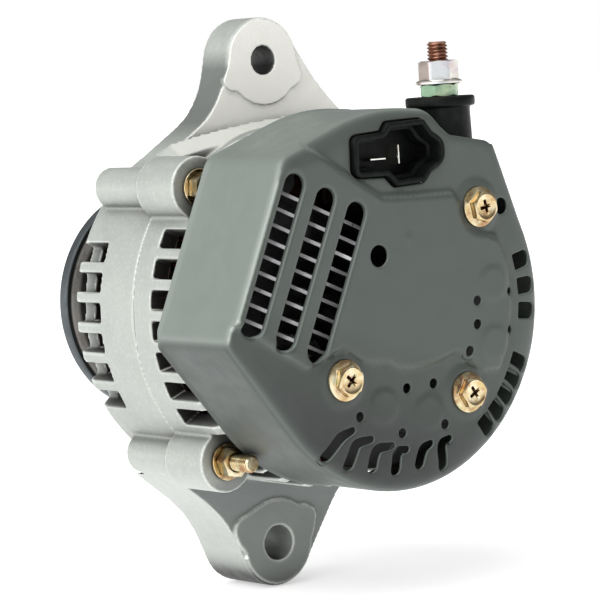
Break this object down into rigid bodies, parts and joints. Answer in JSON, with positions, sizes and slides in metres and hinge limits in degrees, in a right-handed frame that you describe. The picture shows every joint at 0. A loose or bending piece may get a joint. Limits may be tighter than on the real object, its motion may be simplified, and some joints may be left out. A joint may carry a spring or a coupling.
{
  "type": "car alternator",
  "caption": "Car alternator with a ventilated cast housing, mounting ears, a V-belt pulley and a pressed rear cover over its rectifier, regulator and brushes.",
  "frame": {"origin": "on the rotor's axis, in the middle plane of the belt groove", "axes": "+Y along the rotor's axis from the rear cover towards the pulley nut, +Z from the pivot ear towards the adjuster ear, +X to the right when looking along +Y at the rear cover"},
  "size_m": [0.1143, 0.1351, 0.1692],
  "materials": {
    "cast_aluminium": "sand-cast, bead-blasted",
    "cover_paint": "satin dark grey paint",
    "pulley_steel": "dark phosphated, turned",
    "yellow_zinc": "yellow zinc plated",
    "green_zinc": "olive chromate plated",
    "bright_steel": "ground",
    "copper_plated": "copper plated, threaded",
    "enamelled_copper": "varnished dark red",
    "bare_copper": "turned",
    "bearing_steel": "polished",
    "cage_brass": "pressed",
    "seal_rubber": "moulded",
    "lamination_steel": "stacked, varnished",
    "soft_iron": "forged and turned",
    "black_plastic": "moulded, fine texture",
    "natural_plastic": "moulded",
    "extruded_aluminium": "mill finish",
    "carbon": "pressed carbon",
    "tinned_brass": "tin plated"
  },
  "bodies": {
    "housing": {"drive_end_frame": "cast_aluminium", "rear_frame": "cast_aluminium", "stator_core": "lamination_steel", "stator_winding": "enamelled_copper", "stator_leads": "enamelled_copper", "through_bolts": "yellow_zinc", "through_bolt_nuts": "yellow_zinc", "through_bolt_washers": "yellow_zinc", "front_bearing_outer_race": "bearing_steel", "front_bearing_seals": "seal_rubber", "bearing_retainer_plate": "bright_steel", "retainer_screws": "yellow_zinc", "rear_bearing_outer_race": "bearing_steel", "rear_bearing_seals": "seal_rubber", "rear_bearing_sleeve": "black_plastic", "rear_cover": "cover_paint", "cover_bolts": "yellow_zinc", "rectifier_heatsink": "extruded_aluminium", "rectifier_screws": "yellow_zinc", "rectifier_ground_plate": "extruded_aluminium", "rectifier_diodes": "bearing_steel", "rectifier_terminal_block": "black_plastic", "output_bus_bar": "bare_copper", "output_stud": "copper_plated", "output_insulator": "black_plastic", "output_lock_nut": "green_zinc", "output_nut": "yellow_zinc", "voltage_regulator": "black_plastic", "regulator_heatsink": "extruded_aluminium", "regulator_screws": "yellow_zinc", "connector_socket": "black_plastic", "connector_pins": "tinned_brass", "brush_holder": "black_plastic", "brush_cap": "black_plastic", "slip_ring_seal": "seal_rubber", "brush_spring_front": "bright_steel", "brush_spring_rear": "bright_steel"},
    "rotor": {"rotor_shaft": "bright_steel", "rotor_pole_front": "soft_iron", "rotor_pole_rear": "soft_iron", "coil_bobbin": "natural_plastic", "field_coil": "enamelled_copper", "front_fan": "bright_steel", "rear_fan": "bright_steel", "slip_ring_insulator": "black_plastic", "slip_rings": "bare_copper", "front_bearing_inner_race": "bearing_steel", "rear_bearing_inner_race": "bearing_steel", "shaft_spacer": "bright_steel", "pulley": "pulley_steel", "pulley_washer": "bright_steel", "pulley_nut": "yellow_zinc"},
    "front_cage": {"front_bearing_balls": "bearing_steel", "front_bearing_cage": "cage_brass"},
    "rear_cage": {"rear_bearing_balls": "bearing_steel", "rear_bearing_cage": "cage_brass"},
    "front_brush": {"brush_front": "carbon"},
    "rear_brush": {"brush_rear": "carbon"}
  },
  "joints": [
    {"name": "rotor_spin", "type": "hinge", "parent": "housing", "child": "rotor", "pos_m": [0, 0, 0], "axis": [0, 1, 0], "continuous": true},
    {"name": "front_cage_spin", "type": "hinge", "parent": "housing", "child": "front_cage", "pos_m": [0, -0.024, 0], "axis": [0, 1, 0], "continuous": true},
    {"name": "rear_cage_spin", "type": "hinge", "parent": "housing", "child": "rear_cage", "pos_m": [0, -0.0805, 0], "axis": [0, 1, 0], "continuous": true},
    {"name": "front_brush_slide", "type": "slide", "parent": "housing", "child": "front_brush", "axis": [0, 0, 1], "range_m": [0, 0.003], "stiffness_N_per_m": 80, "springref_m": -0.04, "deforming": ["brush_spring_front"]},
    {"name": "rear_brush_slide", "type": "slide", "parent": "housing", "child": "rear_brush", "axis": [0, 0, 1], "range_m": [0, 0.003], "stiffness_N_per_m": 80, "springref_m": -0.04, "deforming": ["brush_spring_rear"]}
  ],
  "couplings": [
    {"joint": "front_cage_spin", "follows": "rotor_spin", "ratio": 0.36562},
    {"joint": "rear_cage_spin", "follows": "rotor_spin", "ratio": 0.384}
  ]
}
